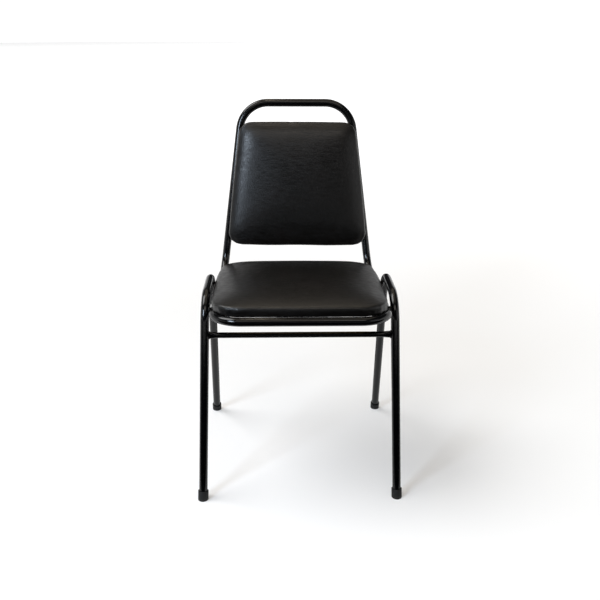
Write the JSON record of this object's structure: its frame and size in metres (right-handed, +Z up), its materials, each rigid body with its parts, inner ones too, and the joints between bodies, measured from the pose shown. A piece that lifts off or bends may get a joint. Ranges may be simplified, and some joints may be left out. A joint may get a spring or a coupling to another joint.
{
  "type": "stacking auditorium chair",
  "caption": "Stacking chair with a black tube frame, A-shaped bent leg frames, and padded dark vinyl seat and back.",
  "frame": {"origin": "on the floor, under the middle of the chair's overall box", "axes": "+X towards the sitter's left, +Y from the front of the seat to its back, +Z up"},
  "size_m": [0.4656, 0.5242, 0.835],
  "materials": {
    "frame_enamel": "gloss black enamel",
    "foot_rubber": "matt moulded rubber",
    "board_wood": "raw plywood",
    "foam": "open cell foam",
    "vinyl": "grained upholstery vinyl",
    "plated_steel": "zinc plated"
  },
  "bodies": {
    "root": {"seat_back_hoop": "frame_enamel", "left_leg_frame": "frame_enamel", "right_leg_frame": "frame_enamel", "front_crossbar": "frame_enamel", "front_left_foot_cap": "foot_rubber", "front_right_foot_cap": "foot_rubber", "rear_left_foot_cap": "foot_rubber", "rear_right_foot_cap": "foot_rubber", "seat_tab_front_left": "frame_enamel", "seat_tab_front_right": "frame_enamel", "seat_tab_rear_left": "frame_enamel", "seat_tab_rear_right": "frame_enamel", "back_tab_lower_left": "frame_enamel", "back_tab_lower_right": "frame_enamel", "back_tab_upper_left": "frame_enamel", "back_tab_upper_right": "frame_enamel", "seat_board": "board_wood", "seat_foam": "foam", "seat_cover": "vinyl", "back_board": "board_wood", "back_foam": "foam", "back_cover": "vinyl", "seat_tee_nuts": "plated_steel", "back_tee_nuts": "plated_steel", "seat_screws": "plated_steel", "back_screws": "plated_steel"}
  },
  "joints": []
}
